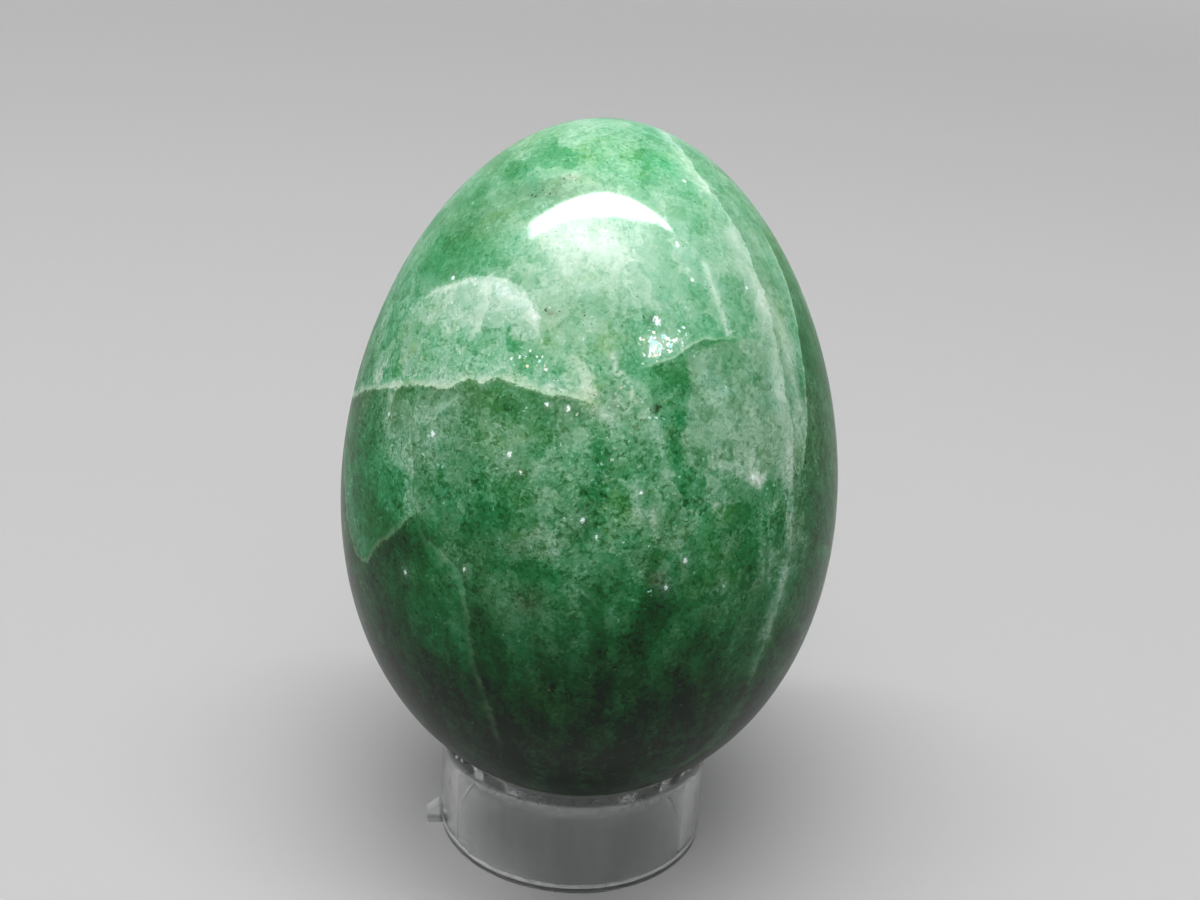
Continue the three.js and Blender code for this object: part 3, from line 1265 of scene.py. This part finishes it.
    def _grains(self, graph: Graph, ragged: Value, sugar: Value) -> Value:
        """The finest texture: dust, grit, sugary crystals, dark pits, and tiny painted glints in clusters.

        Args:
            graph: The material's graph.
            ragged: The stirred place.
            sugar: The number drawn for each sugary crystal.

        Returns:
            What they add to the tone.
        """
        dust = graph.noise(0.15, 1.0)
        grit = graph.noise(0.4, 2.0)
        sparse = graph.noise(2.2, 3.0, 0.65).rise(-0.8, 1.0)
        pits = (graph.chance(0.3, 2, ragged) - 0.9 + sparse * 0.06).rise(0.0, 0.05)
        clusters = graph.noise(1.6, 3.0, 0.65).at_least(0.0)
        # Tiny pale dots in clusters: painted glints, lighter tone where crystals would catch the light
        painted_glint_dots = graph.chance(0.2, 1, graph.stirred(0.2, 0.05)) - (0.985 - clusters * 0.05)
        fine = dust * (0.02 + dust.size() * 0.06) + grit * 0.045 + sugar * (0.05 + sparse * 0.24)
        return fine - pits * 0.16 + painted_glint_dots.rise(0.0, 0.05) * 0.42

    def _fractures(self, graph: Graph, ragged: Value, slanted: Value) -> Value:
        """Hair-thin pale cracks round the plates and the crystals, in some stretches only.

        Args:
            graph: The material's graph.
            ragged: The stirred place.
            slanted: The stirred place, turned and stretched as the plates lie.

        Returns:
            What they add to the tone.
        """
        large = (graph.cells(self.plate_width, CellPart.EDGE, slanted) / 0.03).decay()
        small = (graph.cells(self.fracture_width, CellPart.EDGE, ragged) / 0.06).decay()
        here = graph.noise(3.1, 3.0, 0.65).rise(0.1, 1.0)
        there = graph.noise(2.4, 3.0, 0.65).rise(0.3, 1.2)
        return large * here * 0.12 + small * there * 0.1

    def _softness(self, graph: Graph) -> Value:
        """How wide the step over an outline is: crisp here and blurred there."""
        return graph.noise(2.6, 2.0).rise(0.0, 1.4) * 0.25 + 0.05

    def _seams(self, graph: Graph) -> tuple[Value, Value]:
        """The seams, each with a light side, a dark side and a pale thread.

        Args:
            graph: The material's graph.

        Returns:
            What they add to the tone, and how much of the threads shows.
        """
        fray = graph.noise(1.8, 4.0, 0.65) * 0.55 + graph.noise(0.5, 3.0, 0.7) * 0.25
        fray = fray + (graph.cells(1.1) - 0.45) * 0.4 + (graph.chance(0.4) - 0.5) * 0.4
        patchy = (graph.noise(1.0, 3.0, 0.65) * 0.6 + 0.6).at_least(0.0)
        softness = self._softness(graph) * 0.5
        added: Number = 0.0
        threads: Number = 0.0
        for name, seam in SEAMS.items():
            side = graph.stored(name) + fray * seam.fray
            share = graph.stored(name + SHARE)
            light = (side.at_least(0.0) / seam.light_reach).decay() * seam.light
            dark = ((-side).at_least(0.0) / seam.dark_reach).decay() * -seam.dark
            step = side.rise(-softness, softness)
            added = (step * light + (1.0 - step) * dark) * share + added
            line = (side - seam.thread_width * 0.5) / seam.thread_width
            threads = (line * line * 2.0).decay() * share * seam.thread + threads
        return added, threads * patchy

    def _panes(self, graph: Graph) -> tuple[Value, Value]:
        """The crisp patches.

        Args:
            graph: The material's graph.

        Returns:
            What they add to the tone and to the milkiness.
        """
        fray = graph.noise(1.1, 4.0, 0.65) * 0.2 + (graph.cells(0.8) - 0.45) * 0.3
        softness = self._softness(graph)
        inside = (graph.stored("pane_depth") + fray).rise(-softness, softness)
        inside = inside * (graph.noise(1.4, 4.0, 0.65) * 0.45 + 1.0)
        return inside * graph.stored("pane_tone"), inside * graph.stored("pane_milk")

    def _bands(self, graph: Graph) -> Value:
        """The soft streaks, combed along their length."""
        combed = graph.noise(0.8, 4.0, 0.65, place=graph.turned((0, 8, 0), (1.0, 1.0, 0.15)))
        return graph.stored("bands") * (0.9 + combed * 0.35)

    def _specks(self, graph: Graph) -> Value:
        """Dark flakes, few and small, thicker where the stone is rusty.

        Args:
            graph: The material's graph.

        Returns:
            How much of them shows.
        """
        rarity = graph.noise(4.0, 2.0) * 0.05 + graph.stored("rust") * 0.55
        ragged = graph.cells(0.6, place=graph.stirred(0.5, 0.12)) + graph.noise(0.3, 2.0) * 0.1
        return (0.09 + rarity - ragged).rise(0.0, 0.06) * 0.7

    def _glints(self, graph: Graph, shape: EggShape) -> tuple[Value, Value]:
        """Painted glints: flakes drawn bright and glowing a little, in clusters and as single sparks, with a
        painted halo round the sparks.

        Args:
            graph: The material's graph.
            shape: The egg, on which the sparks have their places.

        Returns:
            How much of them shows, and their colours.
        """
        density = graph.stored("glints") + graph.noise(3.0, 2.0).rise(0.4, 2.0) * 0.02
        patchy = graph.noise(0.7, 2.0).rise(-0.6, 0.6)
        shards = graph.stirred(0.25, 0.06)
        painted_glitter = (density * patchy - graph.chance(0.22, 1, shards)).rise(-0.01, 0.05)
        ragged = graph.noise(0.22, 3.0, 0.7)
        pressed = graph.vector("MULTIPLY", graph.here, (1.0, 1.0, self.spark_width))
        apart: Number = 10.0
        for radius, spots in SPARKS.items():
            for x, y, z in shape.point(*shape.angles(spots)) / MILLIMETRE:
                middle = (x, y, z * self.spark_width)
                reach = graph.vector("DISTANCE", pressed, middle, output="Value")
                apart = (reach / radius).at_most(apart)
        sparks = 1.0 - (apart + ragged * 0.8).rise(0.35, 1.0)
        painted_halo = (apart * 0.6).decay() * (ragged * 0.8 + 0.4).at_least(0.0)
        colour = graph.ramp(graph.chance(0.22, 2, shards), self.painted_glint_colours)
        colour = graph.mix(colour, self.painted_spark_colour, sparks * 0.75)
        return (painted_glitter * 0.9 + sparks + painted_halo * 0.35).at_most(1.0), colour


@dataclass(frozen=True)
class ClearPlastic:
    """Clear moulded plastic with a glossy surface, rubbed hazy at its edges and its gate nub.

    Lengths are in millimetres.
    """

    name: str = "clear_moulded_plastic"
    tint: Colour = ink(250, 251, 250)
    haze_colour: Colour = ink(236, 238, 238)
    refraction: float = 1.49
    wall_haze: float = 0.07
    edge_haze: float = 0.3
    nub_haze: float = 0.45
    nub_start: tuple[float, float] = (12.5, 13.1)  # over which the nub's haze sets in along -X
    foot_edge: tuple[float, float] = (0.2, 0.6)  # heights over which the foot's haze fades
    rim_edge: tuple[float, float] = (7.6, 9.2)  # heights over which the rim's haze sets in

    def material(self) -> bpy.types.Material:
        """Builds the finish. Shadow rays pass through it, so the ring casts a pale shadow.

        Returns:
            The material.
        """
        graph = Graph(bpy.data.materials.new(self.name))
        sockets = {
            "Base Color": self.tint,
            "Roughness": 0.02 + graph.noise(3.0, 2.0).rise(0.1, 0.9) * 0.05,
            "IOR": self.refraction,
            "Transmission Weight": 1.0,
        }
        plastic = graph.node("BsdfPrincipled", {}, sockets)
        hazy = graph.node("BsdfDiffuse", {}, {"Color": self.haze_colour})
        through = graph.node("BsdfTransparent", {}, {"Color": self.tint})
        shadow = graph.node("LightPath", {}, {}, "Is Shadow Ray")
        rubbed = graph.between(self._haze(graph), plastic, hazy)
        return graph.surface(graph.between(shadow, rubbed, through))

    def _haze(self, graph: Graph) -> Value:
        """How hazy the plastic is: streaks down the wall, both edges, and the nub.

        Args:
            graph: The material's graph.

        Returns:
            The share of haze.
        """
        height = graph.along(graph.here, 0.0, 0.0, 1.0)
        leftward = graph.along(graph.here, -1.0, 0.0, 0.0)
        edges = 1.0 - height.rise(*self.foot_edge) + height.rise(*self.rim_edge)
        upright = graph.turned((0, 0, 0), (1.0, 1.0, 0.12))
        streaks = graph.noise(1.6, 4.0, 0.6, place=upright)
        scuffs = graph.noise(1.1, 4.0, 0.7)
        wall = (streaks * 0.6 + scuffs * 0.4 + 0.5).at_least(0.0) * self.wall_haze
        rims = edges * (streaks * 0.15 + 0.9) * self.edge_haze
        return wall + rims + leftward.rise(*self.nub_start) * self.nub_haze


# Studio

BACKDROP = grey(0.53)


@dataclass(frozen=True)
class StudioFloor:
    """A pale floor, shown paler than it bounces light at the object.

    Near the object the lamps light it and it takes the shadow; farther off it fades into the
    backdrop's even tone, so that no horizon shows.
    """

    name: str = "studio_floor"
    shown: Colour = grey(0.37)
    bounced: Colour = grey(0.1)
    edge: float = 6.0  # half its width, in metres
    near: float = 0.15  # how far off it starts to fade
    far: float = 0.9  # how far off it has faded

    def build(self) -> bpy.types.Object:
        """Makes the floor as a large square at the height that the ring stands on.

        Returns:
            The floor.
        """
        corners = [(x * self.edge, y * self.edge, 0) for x, y in ((-1, -1), (1, -1), (1, 1), (-1, 1))]
        mesh = bpy.data.meshes.new(self.name)
        mesh.from_pydata(corners, [], [(0, 1, 2, 3)])
        mesh.materials.append(self._material())
        floor = add(self.name, mesh)
        return floor

    def _material(self) -> bpy.types.Material:
        """Builds the floor's finish.

        Returns:
            The material.
        """
        graph = Graph(bpy.data.materials.new(self.name))
        pale = graph.seen_pale()
        distance = graph.vector("LENGTH", graph.here, output="Value") * MILLIMETRE
        lit = graph.node("BsdfDiffuse", {}, {"Color": graph.mix(self.bounced, self.shown, pale)})
        even = graph.node("Emission", {}, {"Color": BACKDROP})
        return graph.surface(graph.between(distance.rise(self.near, self.far) * pale, lit, even))


@dataclass(frozen=True)
class StudioSky:
    """A plain sky: an even light on the object, shown as the backdrop's even tone."""

    name: str = "studio_sky"
    strength: float = 0.15

    def build(self) -> bpy.types.World:
        """Makes the world.

        Returns:
            The world.
        """
        world = bpy.data.worlds.new(self.name)
        bpy.context.scene.world = world
        graph = Graph(world)
        light = graph.node("Background", {}, {"Color": grey(1.0), "Strength": self.strength})
        even = graph.node("Background", {}, {"Color": BACKDROP})
        return graph.surface(graph.between(graph.seen_pale(), light, even))


class Outline(Enum):
    """The outlines of the lamps, with the share of its box that each one fills."""

    RECTANGLE = 1.0
    ELLIPSE = math.pi / 4


@dataclass(frozen=True)
class StudioLight:
    """An area light, placed as seen from the photographed side, in metres."""

    name: str
    outline: Outline
    length: float
    width: float
    radiance: float  # how bright it is
    place: Triple  # its middle: rightwards, away and up
    aim: Triple | None = None  # the point that it faces, or none for straight down
    mirrored: bool = False  # whether polished surfaces mirror it
    shining: bool = True  # whether it lights the object, apart from that mirroring

    def build(self) -> bpy.types.Object:
        """Makes the light, facing its aim with its length level.

        Returns:
            The lamp.
        """
        light = bpy.data.lights.new(self.name, "AREA")
        light.shape = self.outline.name
        light.size = self.length
        light.size_y = self.width
        light.energy = self.radiance * math.pi * self.length * self.width * self.outline.value
        lamp = add(self.name, light)
        aim = Vector(self.aim or (*self.place[:2], 0.0))
        facing = (aim - Vector(self.place)).to_track_quat("-Z", "Y").to_matrix().to_4x4()
        lamp.matrix_world = Matrix.Rotation(FRONT, 4, "Z") @ Matrix.Translation(self.place) @ facing
        lamp.visible_glossy = self.mirrored
        lamp.visible_transmission = self.mirrored
        lamp.visible_diffuse = self.shining
        return lamp


OBJECT_MIDDLE = (0.0, 0.0, 0.04)
LIGHTS = (
    StudioLight("overhead_key", Outline.ELLIPSE, 1.5, 0.165, 24.5, (-0.1, -0.146, 1.08)),
    StudioLight("front_fill", Outline.RECTANGLE, 1.6, 1.2, 1.45, (0.0, -0.9, 1.4), OBJECT_MIDDLE),
    StudioLight("rear_fill", Outline.RECTANGLE, 1.6, 1.2, 0.9, (0.0, 0.9, 1.4), OBJECT_MIDDLE),
    StudioLight("tube", Outline.RECTANGLE, 0.8, 0.17, 60.0, (-0.37, -0.146, 1.04), None, True, False),
    StudioLight("tube_middle", Outline.ELLIPSE, 1.0, 0.21, 60.0, (-0.02, -0.146, 1.06), None, True, False),
    StudioLight("tube_tip", Outline.ELLIPSE, 0.98, 0.11, 60.0, (0.2, -0.115, 1.05), None, True, False),
    StudioLight("front_glow", Outline.ELLIPSE, 0.9, 0.36, 3.0, (-0.03, -0.62, 1.05), (0.0, 0.0, 0.05), True),
)


@dataclass(frozen=True)
class PhotoCamera:
    """The camera at the photograph's viewing angle, in metres and degrees."""

    name: str = "photo_camera"
    back: float = 0.1433  # how far it stands in front of the ring's centre
    height: float = 0.1007  # how high it stands above the table
    turn: float = 0.3  # how far it looks to the right of straight ahead
    dip: float = 23.2  # how far it looks down
    roll: float = 3.55  # how far it leans, counter-clockwise seen from behind it
    sensor: float = 36.0  # width of the frame in millimetres
    lens: float = 51.9  # focal length in millimetres

    def build(self) -> bpy.types.Object:
        """Makes the camera and sets it as the scene's.

        Returns:
            The camera's object.
        """
        camera = bpy.data.cameras.new(self.name)
        camera.lens = self.lens
        camera.sensor_width = self.sensor
        camera.clip_start = 0.005
        camera.clip_end = 20.0
        rig = add(self.name, camera)
        rig.matrix_world = (
            Matrix.Rotation(FRONT, 4, "Z")
            @ Matrix.Translation((0.0, -self.back, self.height))
            @ Matrix.Rotation(math.radians(-self.turn), 4, "Z")
            @ Matrix.Rotation(math.radians(90 - self.dip), 4, "X")
            @ Matrix.Rotation(math.radians(self.roll), 4, "Z")
        )
        bpy.context.scene.camera = rig
        return rig


def main() -> None:
    """Builds the pieces and the studio."""
    StoneEgg(PolishedStone()).build()
    ClearRing(ClearPlastic()).build()
    for part in (StudioFloor(), StudioSky(), *LIGHTS, PhotoCamera()):
        part.build()
    bpy.context.scene.view_settings.view_transform = "Standard"


if __name__ == "__main__":
    main()
